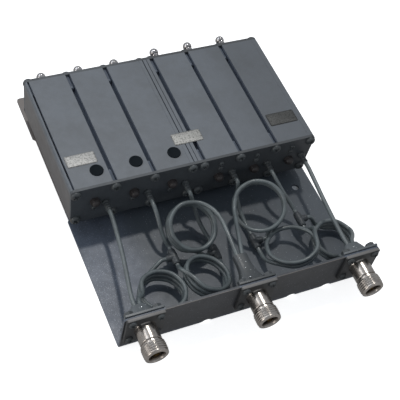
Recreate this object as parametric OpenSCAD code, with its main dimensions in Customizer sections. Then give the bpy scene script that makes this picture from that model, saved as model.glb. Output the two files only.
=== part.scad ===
// Six-cavity coaxial duplexer on a folded tray.
// Two extruded banks of three cavities, a phasing harness and three flanged coaxial jacks.
// X runs along the front wall, Y from the jacks to the tuning rods, Z up.
// The origin is the middle of the tray's underside.

/* [Tray] */
// Width of the tray
tray_w = 178; // [172:1:200]
// Depth of the tray, from the front wall to the rear edge
tray_l = 210; // [206:1:240]
// Sheet thickness of the tray
sheet = 1.6; // [1.2:0.1:2.2]
// Outer radius of the fold under the front wall
fold_r = 3; // [2.6:0.1:4]
// Height of the front wall from the underside
wall_h = 34; // [33:0.5:38]
// Radius of the half-round notches under the front wall
notch_r = 4; // [3:0.1:5]
// Radius of the tray's corners
corner_r = 2; // [1:0.5:5]
// Depth of the long relief cut in each side edge
relief_d = 1.6; // [0.5:0.1:4]
// Distance from the front end plate to the front end of the relief cuts
relief_front = 6; // [2:0.5:15]
// Distance from the back end plate to the rear end of the relief cuts
relief_back = 17.4; // [5:0.2:27]
// Diameter of the tray's mounting holes
mount_d = 5; // [4:0.1:6]
// Distance from the mounting holes to the side edges
mount_in = 13.6; // [9:0.1:16]
// Distance from the front wall to the front mounting hole
mount_front = 80.1; // [60:0.1:84]
// Distance from the rear mounting holes to the rear edge
mount_back = 9; // [6:0.5:14]

/* [Cavity box] */
// Distance from the front wall to the front end plate
box_y = 91; // [90:1:96]
// Length of the extruded banks without the end plates
bank_l = 94.4; // [88:0.2:100]
// Width of one bank at its top
bank_w = 88; // [84:0.5:90]
// Gap between the two banks
bank_gap = 0.4; // [0.2:0.1:1]
// Height of the banks
bank_h = 34.2; // [32:0.2:38]
// Offset of the box from the tray's middle
box_shift = -3; // [-4:0.5:0]
// Height of the box above the tray floor
box_lift = 7.2; // [5:0.2:9]
// Wall thickness of the extrusions
wall_t = 1.8; // [1.4:0.1:2.4]
// Thickness of the webs between the cavities
web_t = 2.4; // [1.6:0.1:4]
// Distance that the bottom of each outer side wall leans in
side_lean = 1.5; // [0:0.1:2.5]
// Radius of the box's long outer edges
edge_r = 2.4; // [1:0.1:3]
// Distance from the screw channels to the bank's top, bottom and inner side
channel_in = 3.9; // [3.8:0.1:4.6]
// Distance from the outermost screw channels to the bank's outer side
channel_out = 3.2; // [3.1:0.1:4.6]
// Bore of the screw channels
channel_d = 4.4; // [4.2:0.1:4.8]
// Outer diameter of the screw channels
channel_od = 7.4; // [7:0.1:8]
// Width of the open slot along each channel
slot_w = 3.2; // [2:0.1:3.6]
// Thickness of the end plates
plate_t = 2; // [1.5:0.1:3]
// Diameter of the end plate screws
screw_d = 4; // [3:0.1:4.1]
// Length that the end plate screws reach into the channels
screw_l = 11; // [6:0.5:16]
// Diameter of the end plate screws' heads
screw_head = 7; // [6:0.1:7.6]
// Diameter of the three port plugs in the top of the low bank
port_d = 9; // [7:0.5:11]
// Distance from the ports to the front end plate
port_y = 12.7; // [8:0.1:20]
// Offset of the ports from the cavity centre lines
port_x = 4.6; // [0:0.1:6]
// Diameter of the spacers between the tray and the box
spacer_d = 8; // [7:0.5:12]
// Diameter of the spacer screws
spacer_screw_d = 3.5; // [3:0.1:4]
// Distance from the end plates to the spacers
spacer_in = 14; // [8:0.5:24]

/* [Resonators] */
// Height of the low bank's resonator axes above the bank's underside
low_axis = 20.2; // [16:0.2:22]
// Height of the high bank's resonator axes above the bank's underside
high_axis = 14.8; // [13:0.2:20]
// Outer diameter of the inner conductors
tube_d = 9.6; // [8.6:0.1:11]
// Bore of the inner conductors
tube_id = 6.2; // [5.6:0.1:6.8]
// Length of the inner conductors
tube_l = 62; // [56:1:70]
// Diameter of the inner conductors' foot
foot_d = 11.4; // [11:0.1:12]
// Thickness of the inner conductors' foot
foot_t = 2.4; // [1.5:0.1:4]
// Diameter of the studs that hold the inner conductors
stud_d = 3; // [2.5:0.1:3.5]
// Diameter of the tuning rods
rod_d = 5; // [4:0.1:5.4]
// Diameter of the ball at the end of each rod
ball_d = 6.6; // [6:0.1:8]
// Distance from the back end plate to the low bank's balls
low_out = 12; // [11.8:0.1:18]
// Distance from the back end plate to the high bank's balls
high_out = 20; // [19.4:0.1:22]
// Length of the tuning rods from the ball's centre
rod_l = 60.2; // [58:0.2:70]
// Radial running clearance of the rods in their lock nuts
rod_fit = 0.05; // [0.02:0.01:0.09]
// Width across flats of the rod lock nuts
nut_af = 9; // [8:0.1:11]
// Thickness of the rod lock nuts
nut_t = 4; // [3:0.1:5]

/* [Coupling] */
// Offset of the cable glands from the cavity centre lines
gland_x = 10; // [8:0.1:10.4]
// Offset of the first cavity's gland
gland_first = 7.6; // [7.4:0.1:10]
// Height of the glands above the bank's underside
gland_z = 16.2; // [14:0.2:19]
// Diameter of the glands
gland_d = 3.9; // [3.6:0.1:5]
// Distance that the glands stand out of the front plate
gland_l = 7.5; // [5:0.1:9]
// Diameter of the coupling loop wire
loop_d = 1.6; // [1.2:0.1:2]
// Length of the coupling loops inside the cavities
loop_l = 26; // [18:1:34]
// Height of the coupling loops between their two wires
loop_h = 7.6; // [6:0.1:8]
// Width across flats of the domed resonator nuts
dome_af = 6; // [5.5:0.1:7]
// Diameter of the loop screws
loop_screw_d = 2; // [1.6:0.1:2.5]
// Length that the loop screws reach into the cavities
loop_screw_l = 6; // [3:0.5:8]
// Distance from the resonator axes to the loop screws below them
drop_low = 7.7; // [7.4:0.1:8.2]
// Distance from the resonator axes to the loop screws above them
rise_high = 8; // [7.4:0.1:9]
// Distance between the two loop screws of one cavity
loop_pair = 5; // [4.5:0.1:5.6]

/* [Jacks] */
// Distance from the outer jacks to the side edges
jack_in = 13.6; // [13:0.1:15]
// Height of the jack axes above the tray's underside
jack_z = 22.4; // [22:0.1:23]
// Side of the square flange
flange_w = 25.4; // [25:0.1:26]
// Thickness of the flange
flange_t = 2.2; // [1.8:0.1:3]
// Distance between the flange screws
flange_pitch = 18.14; // [18:0.02:18.6]
// Diameter of the flange screws
flange_screw_d = 3; // [2.5:0.1:3.2]
// Width across flats of the nuts behind the flanges
flange_nut_af = 5.4; // [5:0.1:5.6]
// Diameter of the plain collar
collar_d = 14; // [13.4:0.1:15]
// Length of the plain collar
collar_l = 8.6; // [6:0.1:10]
// Diameter of the groove behind the thread
groove_d = 12.8; // [12.4:0.1:13.2]
// Width of the groove behind the thread
groove_l = 1.5; // [1:0.1:2.5]
// Diameter of the threaded end
thread_d = 15.9; // [15.7:0.1:16.2]
// Length of the threaded end
thread_l = 10.2; // [9:0.1:12]
// Bore of the open end
mouth_d = 10.8; // [10:0.1:12.4]
// Depth of the wide part of the open end
mouth_l = 5; // [4.2:0.1:6]
// Diameter of the insulator and its bore
bead_d = 8.4; // [7:0.1:9]
// Depth of the insulator's face below the open end
bead_in = 10; // [8:0.1:11]
// Diameter of the centre contact
contact_d = 3; // [2.6:0.1:3.4]
// Bore of the centre contact
contact_id = 1.7; // [1.5:0.1:2]
// Depth of the centre contact's tip below the open end
contact_in = 5.4; // [5.2:0.1:7]
// Length of the centre contact behind the insulator
contact_out = 5; // [2:0.5:6]
// Diameter of the spigot behind the flange
spigot_d = 12; // [11:0.1:13]

/* [Hoods] */
// Sheet thickness of the hoods
hood_t = 0.9; // [0.6:0.1:0.9]
// Thickness of the hoods' base plates
hood_base = 1.6; // [1.2:0.1:2.5]
// Diameter of the hoods at their base plates
hood_d = 18.6; // [17:0.2:19]
// Length of the left hood behind its base plate
hood_low_l = 8; // [7:0.2:10]
// Length of the middle hood behind its base plate
hood_mid_l = 22.4; // [18:0.2:23]
// Length of the right hood behind its base plate
hood_high_l = 8.4; // [7:0.2:10]
// Width of the hood's open end
hood_end_w = 9.6; // [9.4:0.1:12]
// Height of the hood's open end
hood_end_h = 6.4; // [6.2:0.1:8]

/* [Harness] */
// Diameter of the cables
cable_d = 2.9; // [2.4:0.1:2.9]
// Height of the cables in the hoods above the tray's underside
hood_z = 26; // [25.8:0.1:26.2]
// Diameter of the tees
tee_d = 5.4; // [5:0.1:5.6]
// Distance from a tee's middle to each of its ports
tee_l = 5.5; // [5.5:0.1:5.6]

/* [Hidden] */

$fn = 48;
eps = 0.01;
// Radial clearance of a piece that sits in a hole
snug = 0.05;
// Radial clearance of a screw in its hole
loose = 0.15;
painted = [0.40, 0.42, 0.44];
shaded = [0.20, 0.21, 0.22];
nickel = [0.72, 0.69, 0.62];
chrome = [0.80, 0.81, 0.83];
brass = [0.72, 0.58, 0.30];
copper = [0.72, 0.45, 0.30];
black = [0.05, 0.05, 0.05];
cream = [0.92, 0.90, 0.84];

// Places along Y and Z
front_y = -tray_l / 2;
inner_y = front_y + sheet;
plate_y = front_y + box_y;
bank_y = plate_y + plate_t;
back_y = bank_y + bank_l;
rear_y = back_y + plate_t;
box_z = sheet + box_lift;
top_z = box_z + bank_h;

// Screw channels and cavities of one bank, counted from the gap outwards
near_x = bank_gap / 2;
far_x = near_x + bank_w;
pitch = (bank_w - channel_in - channel_out) / 3;
channels = [for (i = [0:3]) near_x + channel_in + i * pitch];
cavities = [for (i = [0:2]) near_x + channel_in + (i + 0.5) * pitch];
channel_points = [for (top = [0, 1]) for (i = [0:3])
  [channels[i] - (top == 0 && i == 3 ? side_lean : 0), top == 1 ? top_z - channel_in : box_z + channel_in, top]];
// Centre lines, axis heights and rest positions of the six cavities, left to right
cavity_x = [for (i = [0:5]) box_shift + (i < 3 ? -cavities[2 - i] : cavities[i - 3])];
axis_z = [for (i = [0:5]) box_z + (i < 3 ? low_axis : high_axis)];
ball_y = [for (i = [0:5]) rear_y + (i < 3 ? low_out : high_out)];
gland_at = [for (i = [0:5]) cavity_x[i] + (i == 0 ? gland_first : gland_x)];
gland_h = box_z + gland_z;
jack_x = [jack_in - tray_w / 2, 0, tray_w / 2 - jack_in];
hood_l = [hood_low_l, hood_mid_l, hood_high_l];
barrel_l = collar_l + groove_l + thread_l;
mouth_y = front_y - flange_t - barrel_l;
spacer_y = [bank_y + spacer_in, back_y - spacer_in];
spacer_x = [for (i = [0, 2, 3, 5]) cavity_x[i]];
mounts = [
  [tray_w / 2 - mount_in, front_y + mount_front],
  [mount_in - tray_w / 2, tray_l / 2 - mount_back],
  [tray_w / 2 - mount_in, tray_l / 2 - mount_back]
];
notches = [-29.9, 31.4, 57.9];

// Tees of the harness: middle, direction of the branch
tees = [
  [[-34, -58, 9], -1],
  [[-4, -60.5, 4.6], -1],
  [[24.5, -61, 6], 1],
  [[59.5, -57, 12], 1]
];

// A point on a tilted ring: th along the ring, h above its plane, ax and ay the tilts about X and Y
function ring(c, rx, ry, ax, ay, th, h) =
  let (x = rx * cos(th), y = ry * sin(th), z = y * sin(ax) + h * cos(ax))
  [c[0] + x * cos(ay) + z * sin(ay), c[1] + y * cos(ax) - h * sin(ax), c[2] - x * sin(ay) + z * cos(ay)];

// Points every 45 degrees along a coil that starts at angle th and climbs from h0 to h1
function coil(c, rx, ry, ax, ay, th, turn, h0, h1) =
  let (n = ceil(abs(turn) / 45))
  [for (i = [0:n]) ring(c, rx, ry, ax, ay, th + turn * i / n, h0 + (h1 - h0) * i / n)];

// Cable routes, from the first end to the other
lead_1_path = [[-66.9, -21.5, 25], [-66.9, -26, 25], [-71, -56, 26], [-76.6, -86, 26], [-77.1, -92, 26],
  [-77.1, -97, 26]];
lead_2_path = [[-37.6, -21.5, 25], [-37.6, -25, 25], [-37.6, -31, 23.4], [-37.6, -39, 19],
  [-36.2, -46, 12.8], [-34, -50, 9], [-34, -52.5, 9]];
lead_3_path = [[-10.6, -21.5, 25], [-10.6, -24, 25], [-9.6, -27.4, 20.6], [-8.6, -31.6, 15.2],
  [-6.8, -40.5, 9], [-4, -50.5, 4.6], [-4, -55, 4.6]];
lead_4_path = [[24.6, -21.5, 25], [24.6, -23.6, 25], [24.5, -25.9, 21.5], [24.3, -28, 14.5],
  [24.2, -35, 9.5], [24.5, -44, 6.5], [24.5, -52, 6], [24.5, -55.5, 6]];
lead_5_path = [[51.5, -21.5, 25], [51.5, -25, 25], [52.1, -30.5, 23.6], [54.2, -38.5, 20],
  [58.4, -46, 14], [59.5, -49, 12], [59.5, -51.5, 12]];
lead_6_path = [[78.5, -21.5, 25], [78.5, -26, 25], [77.6, -55, 25], [75, -80, 26], [73.7, -92, 26],
  [73.7, -97, 26]];
link_1_path = concat(
  [[-73.7, -97, 26], [-73.7, -93, 26], [-72.6, -89, 25]],
  coil([-52.4, -82.5, 17], 14.6, 14.6, -6, 4, 180, -1125, 0.6, -11.2),
  [[-57, -66.4, 6], [-47.5, -60.4, 8.2], [-42.5, -58, 9], [-39.5, -58, 9]]);
link_2_path = concat(
  [[-1.7, -84, 26], [-0.8, -62, 28], [-0.6, -49.5, 28.3], [-3.5, -40.5, 28.3]],
  coil([-17.2, -46.5, 22], 15.9, 15.9, 22.7, 1.8, 62, 928, 0.5, -8.4),
  [[-12, -60.5, 4.6], [-9.5, -60.5, 4.6]]);
link_3_path = concat(
  [[1.7, -84, 26], [2.1, -79.4, 26.2], [6.8, -64, 25.2], [12, -49, 22.5]],
  coil([31.4, -45.2, 24], 17.2, 17.2, 16, -13.5, 165, -600, 0.5, -5.4),
  [[35.6, -58.8, 12.6], [34.8, -59.2, 9.2], [33.8, -60.6, 6.6], [32, -61, 6], [30, -61, 6]]);
link_4_path = concat(
  [[24.5, -66.5, 6], [24.5, -69.5, 6], [24.3, -74.5, 7], [24.8, -79.5, 9.5]],
  coil([42.5, -76.2, 18], 17, 17, -13.8, -10, 210, 510, -4.5, 0.5),
  [[62, -69.6, 18.4], [60.6, -67, 13.6], [59.5, -64.8, 12], [59.5, -62.5, 12]]);
link_5_path = concat(
  [[-34, -63.5, 9], [-34, -65.6, 9], [-35, -68.4, 11.6], [-37, -73.5, 19]],
  coil([-19.4, -79.2, 16.2], 14.2, 14.8, -5, 15, 190, 875, 0.8, -7.8),
  [[-4, -69.6, 4.6], [-4, -66, 4.6]]);
link_6_path = concat(
  [[65, -57, 12], [67, -57, 12], [69.4, -57.8, 10], [71.4, -59.4, 6.6]],
  coil([76.2, -77.7, 10.5], 14, 14, 2.4, 4.2, 90, -795, -6, 2.2),
  [[87.5, -80.5, 17], [83, -83.4, 21.5], [78.6, -86.6, 25.2], [77.1, -92, 26], [77.1, -97, 26]]);

// Points of an arc in a drawing plane
function arc(x, y, r, a0, a1, n = 5) =
  [for (i = [0:n]) let (a = a0 + (a1 - a0) * i / n) [x + r * cos(a), y + r * sin(a)]];

// Draws its flat child, given in X and Z, as a slab from y0 to y1
module slab(y0, y1) {
  translate([0, y1, 0]) rotate([90, 0, 0]) linear_extrude(y1 - y0) children();
}

// A round bar along Y
module bar(d, y0, y1) {
  translate([0, y0, 0]) rotate([-90, 0, 0]) cylinder(d = d, h = y1 - y0);
}

// A turned piece along Y from pairs of radius and distance
module turned(points) {
  rotate([-90, 0, 0]) rotate_extrude() polygon(points);
}

// A pan head screw: the head stands to -Y of its seat and the shank runs to +Y
module pan_screw(head, shank, length) {
  high = head * 0.34;
  turned([
    [0, -high],
    [head * 0.26, -high],
    [head * 0.42, -high * 0.74],
    [head * 0.5, -high * 0.3],
    [head * 0.5, 0],
    [shank / 2, 0],
    [shank / 2, length - 0.5],
    [shank / 2 - 0.5, length],
    [0, length]
  ]);
}

// Rounded square in a drawing plane, around its middle
module rounded(w, h, r) {
  polygon(concat(
    arc(w / 2 - r, h / 2 - r, r, 0, 90),
    arc(r - w / 2, h / 2 - r, r, 90, 180),
    arc(r - w / 2, r - h / 2, r, 180, 270),
    arc(w / 2 - r, r - h / 2, r, 270, 360)));
}

// Puts its child at the four corners of a flange
module at_corners() {
  for (x = [-1, 1]) for (z = [-1, 1]) translate([x * flange_pitch / 2, 0, z * flange_pitch / 2]) children();
}

// Puts its child in a bank's place, mirrored on the low side
module in_bank(low) {
  translate([box_shift, 0, 0]) mirror([low ? 1 : 0, 0, 0]) children();
}

// The fold: floor and front wall in one sheet
module tray() {
  color(painted) difference() {
    union() {
      linear_extrude(sheet) tray_plan();
      intersection() {
        rotate([90, 0, 90]) translate([0, 0, -tray_w / 2]) linear_extrude(tray_w) wall_profile();
        slab(front_y - 1, front_y + fold_r + 1) translate([0, wall_h / 2 - 10])
          rounded(tray_w, wall_h + 20, corner_r);
      }
    }
    for (x = notches) translate([x, 0, 0]) bar(2 * notch_r, front_y - 1, front_y + fold_r);
    for (p = mounts) translate([p[0], p[1], -1]) cylinder(d = mount_d, h = sheet + 2);
    for (x = spacer_x) for (y = spacer_y) translate([x, y, 0]) {
      translate([0, 0, -1]) cylinder(d = spacer_screw_d + 2 * loose, h = sheet + 2);
      translate([0, 0, -eps]) cylinder(d1 = 2 * spacer_screw_d + 2 * snug, d2 = spacer_screw_d, h = spacer_screw_d / 2 + snug);
    }
    for (x = jack_x) translate([x, 0, jack_z]) {
      bar(spigot_d + 4 * snug, front_y - 1, inner_y + 1);
      at_corners() bar(flange_screw_d + 2 * loose, front_y - 1, inner_y + 1);
    }
  }
}

// Outline of the tray's floor behind the fold, with the relief cuts
module tray_plan() {
  w = tray_w / 2;
  y0 = plate_y + relief_front;
  y1 = rear_y - relief_back;
  half = concat(
    [[w, front_y + fold_r]],
    arc(w - relief_d + 1, y0, 1, 90, 90, 1),
    [[w - relief_d, y0 + relief_d], [w - relief_d, y1 - relief_d], [w, y1]],
    arc(w - corner_r, tray_l / 2 - corner_r, corner_r, 0, 90));
  polygon(concat(half, [for (i = [len(half) - 1:-1:0]) [-half[i][0], half[i][1]]]));
}

// Section of the fold and the front wall, Y across and Z up
module wall_profile() {
  polygon(concat(
    arc(front_y + fold_r, fold_r, fold_r, 270, 180, 8),
    [[front_y, wall_h], [inner_y, wall_h]],
    arc(front_y + fold_r, fold_r, fold_r - sheet, 180, 270, 8)));
}

// Spacers that carry the box above the tray floor
module box_spacers() {
  color(nickel) for (x = spacer_x) for (y = spacer_y) translate([x, y, sheet]) difference() {
    cylinder(d = spacer_d, h = box_lift);
    translate([0, 0, -1]) cylinder(d = spacer_screw_d + 2 * loose, h = box_lift + 2);
  }
}

// Countersunk screws, flush under the tray and through the bank's bottom wall
module spacer_screws() {
  r = spacer_screw_d / 2;
  color(chrome) for (x = spacer_x) for (y = spacer_y) translate([x, y, 0]) rotate_extrude()
    polygon([[0, 0], [2 * r, 0], [r, r], [r, box_z + wall_t - 0.4], [r - 0.4, box_z + wall_t], [0, box_z + wall_t]]);
}

// Outer side of one bank from bottom to top, X across and Z up
outer_side = concat(
  arc(far_x - side_lean - edge_r, box_z + edge_r, edge_r, 270, 360),
  arc(far_x - edge_r, top_z - edge_r, edge_r, 0, 90));

// Section of one bank without its hollows
module bank_outline() {
  polygon(concat([[near_x, top_z], [near_x, box_z]], outer_side));
}

// The hollow of one cavity, between the webs or the outer walls
module cavity_outline(i) {
  x0 = i == 0 ? near_x + wall_t : channels[i] + web_t / 2;
  x1 = i == 2 ? far_x - wall_t : channels[i + 1] - web_t / 2;
  lean = i == 2 ? side_lean : 0;
  polygon([
    [x0, box_z + wall_t],
    [x1 - lean, box_z + wall_t],
    [x1, top_z - wall_t],
    [x0, top_z - wall_t]
  ]);
}

// Section of one bank: three cavities, and a slotted screw channel at each end of every web
module bank_section() {
  difference() {
    bank_outline();
    difference() {
      for (i = [0:2]) cavity_outline(i);
      for (p = channel_points) translate([p[0], p[1]]) circle(d = channel_od);
    }
    for (p = channel_points) {
      translate([p[0], p[1]]) circle(d = channel_d);
      translate([p[0] - slot_w / 2, p[2] == 1 ? p[1] : box_z - 1]) square([slot_w, channel_in + 1]);
    }
  }
}

module bank(low) {
  color(painted) difference() {
    in_bank(low) slab(bank_y, back_y) bank_section();
    for (i = low ? [0, 2] : [3, 5]) for (y = spacer_y)
      translate([cavity_x[i], y, box_z - 1]) cylinder(d = spacer_screw_d + 2 * snug, h = wall_t + 2);
    if (low) for (i = [0:2])
      translate([cavity_x[i] + port_x, plate_y + port_y, top_z - wall_t - 1]) cylinder(d = port_d - 1.4, h = wall_t + 2);
  }
}

module bank_low() { bank(true); }
module bank_high() { bank(false); }

// Push-in plugs over the low bank's ports
module port_plugs() {
  color(black) for (i = [0:2]) translate([cavity_x[i] + port_x, plate_y + port_y, top_z]) rotate_extrude()
    polygon([
      [0, -wall_t - 1],
      [port_d / 2 - 1.4, -wall_t - 1],
      [port_d / 2 - 0.7 - snug, -wall_t],
      [port_d / 2 - 0.7 - snug, 0],
      [port_d / 2, 0],
      [port_d / 2, 0.4],
      [port_d / 2 - 0.6, 0.8],
      [0, 0.8]
    ]);
}

// One flat plate across both banks, with the screw holes
module end_plate(y0, y1) {
  difference() {
    slab(y0, y1) translate([box_shift, 0])
      polygon(concat(outer_side, [for (i = [len(outer_side) - 1:-1:0]) [-outer_side[i][0], outer_side[i][1]]]));
    for (low = [true, false]) in_bank(low) for (p = channel_points)
      translate([p[0], 0, p[1]]) bar(screw_d + 2 * loose, y0 - 1, y1 + 1);
  }
}

module front_end_plate() {
  color(painted) difference() {
    end_plate(plate_y, bank_y);
    for (i = [0:5]) {
      translate([cavity_x[i], 0, axis_z[i]]) bar(stud_d + 2 * loose, plate_y - 1, bank_y + 1);
      translate([gland_at[i], 0, gland_h]) bar(gland_d - 0.5 + 2 * snug, plate_y - 1, bank_y + 1);
    }
    for (p = loop_points) translate([p[0], 0, p[1]]) bar(loop_screw_d + 2 * snug, plate_y - 1, bank_y + 1);
  }
}

module back_end_plate() {
  color(painted) difference() {
    end_plate(back_y, rear_y);
    for (i = [0:5]) translate([cavity_x[i], 0, axis_z[i]]) bar(rod_d + 4 * rod_fit, back_y - 1, rear_y + 1);
  }
}

module front_plate_screws() {
  color(chrome) for (low = [true, false]) in_bank(low) for (p = channel_points)
    translate([p[0], plate_y, p[1]]) pan_screw(screw_head, screw_d, plate_t + screw_l);
}

module back_plate_screws() {
  color(chrome) for (low = [true, false]) in_bank(low) for (p = channel_points)
    translate([p[0], rear_y, p[1]]) mirror([0, 1, 0]) pan_screw(screw_head, screw_d, plate_t + screw_l);
}

// Inner conductor: foot and stud at the front plate, open bore towards the rod
module conductor(i) {
  bore_y = 9;
  color(copper) translate([cavity_x[i], bank_y, axis_z[i]]) turned([
    [0, -plate_t - 3.2],
    [stud_d / 2 - 0.3, -plate_t - 3.2],
    [stud_d / 2, -plate_t - 2.9],
    [stud_d / 2, 0],
    [foot_d / 2, 0],
    [foot_d / 2, foot_t],
    [tube_d / 2, foot_t + 0.6],
    [tube_d / 2, tube_l - 0.4],
    [tube_d / 2 - 0.4, tube_l],
    [tube_id / 2, tube_l],
    [tube_id / 2, bore_y],
    [0, bore_y - tube_id / 4]
  ]);
}

module conductor_1() { conductor(0); }
module conductor_2() { conductor(1); }
module conductor_3() { conductor(2); }
module conductor_4() { conductor(3); }
module conductor_5() { conductor(4); }
module conductor_6() { conductor(5); }

// Domed nuts on the studs, outside the front plate
module resonator_nuts() {
  color(brass) for (i = [0:5]) translate([cavity_x[i], plate_y, axis_z[i]]) difference() {
    union() {
      rotate([90, 0, 0]) cylinder(d = dome_af / cos(30), h = 2.8, $fn = 6);
      turned(concat([for (a = [90:-15:0]) [dome_af * 0.46 * cos(a), -2.6 - 2.2 * sin(a)]], [[0, -2.6]]));
    }
    bar(stud_d + 2 * snug, -3.6, 1);
  }
}

// Places of the small screws: one below each low axis, two above each high axis
loop_points = concat(
  [for (i = [0:2]) [cavity_x[i], axis_z[i] - drop_low]],
  [for (i = [3:5]) for (k = [0, 1]) [cavity_x[i], axis_z[i] + rise_high + k * loop_pair]]);

module loop_screws() {
  color(brass) for (p = loop_points) translate([p[0], plate_y, p[1]])
    pan_screw(1.8 * loop_screw_d, loop_screw_d, plate_t + loop_screw_l);
}

// Coupling loops: out from the gland along the cavity and back to the front plate
module coupling_loops() {
  r = loop_h / 2;
  color(copper) for (i = [0:5]) translate([gland_at[i], bank_y, gland_h - r]) {
    for (z = [-r, r]) translate([0, 0, z]) bar(loop_d, 0, loop_l - r);
    translate([0, loop_l - r, 0]) intersection() {
      rotate([0, 90, 0]) rotate_extrude() translate([r, 0]) circle(d = loop_d, $fn = 24);
      translate([-loop_d, 0, -loop_h]) cube([2 * loop_d, loop_h, 2 * loop_h]);
    }
  }
}

// Crimped glands that end the cables at the front plate
module cable_glands() {
  r = gland_d / 2;
  color(nickel) for (i = [0:5]) translate([gland_at[i], plate_y, gland_h]) turned([
    [0, -gland_l],
    [r - 0.3, -gland_l],
    [r, -gland_l + 0.3],
    [r, -1.8],
    [r + 0.7, -1.4],
    [r + 0.7, 0],
    [r - 0.25, 0],
    [r - 0.25, plate_t],
    [0, plate_t]
  ]);
}

// Tuning rod with its ball end, at its rest position
module tuning_rod(i) {
  color(chrome) translate([cavity_x[i], ball_y[i], axis_z[i]]) {
    sphere(d = ball_d);
    turned([[0, -rod_l], [rod_d / 2 - 0.5, -rod_l], [rod_d / 2, -rod_l + 0.5], [rod_d / 2, 0], [0, 0]]);
  }
}

module tuning_rod_1() { tuning_rod(0); }
module tuning_rod_2() { tuning_rod(1); }
module tuning_rod_3() { tuning_rod(2); }
module tuning_rod_4() { tuning_rod(3); }
module tuning_rod_5() { tuning_rod(4); }
module tuning_rod_6() { tuning_rod(5); }

// Hexagonal lock nuts on the back plate, one round each rod
module rod_lock_nuts() {
  color(brass) for (i = [0:5]) translate([cavity_x[i], rear_y, axis_z[i]]) difference() {
    intersection() {
      rotate([-90, 0, 0]) cylinder(d = nut_af / cos(30), h = nut_t, $fn = 6);
      turned([[0, 0], [nut_af * 0.58, 0], [nut_af * 0.58, nut_t - 0.6], [nut_af * 0.5, nut_t], [0, nut_t]]);
    }
    bar(rod_d + 2 * rod_fit, -1, nut_t + 1);
  }
}

// Jack body: square flange, plain collar, groove, threaded end and rear spigot
module jack(i) {
  y0 = -flange_t;
  y1 = y0 - collar_l;
  y2 = y1 - groove_l;
  y3 = y2 - thread_l;
  color(nickel) translate([jack_x[i], front_y, jack_z]) difference() {
    union() {
      slab(-flange_t, 0) rounded(flange_w, flange_w, 1.2);
      turned([
        [0, sheet + hood_base + 0.8],
        [spigot_d / 2, sheet + hood_base + 0.8],
        [spigot_d / 2, -1],
        [collar_d / 2, -1],
        [collar_d / 2, y1 + 0.3],
        [collar_d / 2 - 0.3, y1],
        [groove_d / 2, y1],
        [groove_d / 2, y2],
        [thread_d / 2 - 0.6, y2],
        [thread_d / 2, y2 - 0.6],
        [thread_d / 2, y3 + 0.8],
        [thread_d / 2 - 0.8, y3],
        [0, y3]
      ]);
    }
    bar(bead_d + 2 * snug, y3 - 1, sheet + hood_base + 2);
    bar(mouth_d, y3 - 1, y3 + mouth_l);
    at_corners() bar(flange_screw_d + 2 * loose, -flange_t - 1, 1);
  }
}

module jack_low() { jack(0); }
module jack_common() { jack(1); }
module jack_high() { jack(2); }

module jack_insulators() {
  color(cream) for (x = jack_x) translate([x, 0, jack_z]) difference() {
    bar(bead_d, mouth_y + bead_in, inner_y + hood_base + 0.8);
    bar(contact_d + 2 * snug, mouth_y, inner_y + hood_base + 2);
  }
}

// Centre contacts: bored tip in front, solder end behind
module jack_contacts() {
  l = inner_y + hood_base + 0.8 + contact_out - mouth_y - contact_in;
  color(brass) for (x = jack_x) translate([x, mouth_y + contact_in, jack_z]) turned([
    [contact_id / 2, 0],
    [contact_d / 2 - 0.4, 0],
    [contact_d / 2, 0.6],
    [contact_d / 2, l],
    [0, l],
    [0, 6],
    [contact_id / 2, 6 - contact_id / 4]
  ]);
}

module flange_screws() {
  color(chrome) for (x = jack_x) translate([x, front_y - flange_t, jack_z]) at_corners()
    pan_screw(1.8 * flange_screw_d, flange_screw_d, flange_t + sheet + hood_base + 3);
}

// Hexagonal nuts on the flange screws, behind the hoods' base plates
module flange_nuts() {
  color(painted) for (x = jack_x) translate([x, inner_y + hood_base, jack_z]) at_corners() difference() {
    rotate([-90, 30, 0]) cylinder(d = flange_nut_af / cos(30), h = 2.4, $fn = 6);
    bar(flange_screw_d + 2 * snug, -1, 4);
  }
}

// Flat shape of a hood's open end, or of the hollow inside it
module hood_end(inset) {
  rounded(hood_end_w - 2 * inset, hood_end_h - 2 * inset, 2.4 - inset);
}

// Sheet hood behind a jack: it tapers from a round base to the open end where the cables leave
module hood(i) {
  rise = hood_z - jack_z;
  color(painted) translate([jack_x[i], inner_y, jack_z]) {
    difference() {
      slab(0, hood_base) square(flange_w, center = true);
      bar(spigot_d + 4 * snug, -1, hood_base + 1);
      at_corners() bar(flange_screw_d + 2 * snug, -1, hood_base + 1);
    }
    difference() {
      hull() {
        slab(hood_base, hood_base + eps) circle(d = hood_d);
        translate([0, 0, rise]) slab(hood_base + hood_l[i] - eps, hood_base + hood_l[i]) hood_end(0);
      }
      hull() {
        slab(hood_base - eps, hood_base) circle(d = hood_d - 2 * hood_t);
        translate([0, 0, rise]) slab(hood_base + hood_l[i], hood_base + hood_l[i] + eps) hood_end(hood_t);
      }
    }
  }
}

module hood_low() { hood(0); }
module hood_common() { hood(1); }
module hood_high() { hood(2); }

// Solder tees where a lead meets two links
module harness_tees() {
  color(painted) for (t = tees) translate(t[0]) {
    bar(tee_d, -tee_l, tee_l);
    rotate([0, 90 * t[1], 0]) cylinder(d = tee_d, h = tee_l);
  }
}

// Smooth curve through the points of a route: k samples to a span, ends run straight on
function smooth(p, k) =
  let (n = len(p), q = concat([2 * p[0] - p[1]], p, [2 * p[n - 1] - p[n - 2]]))
  concat([for (i = [1:n - 1]) each span(q[i - 1], q[i], q[i + 1], q[i + 2], k)], [p[n - 1]]);

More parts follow.
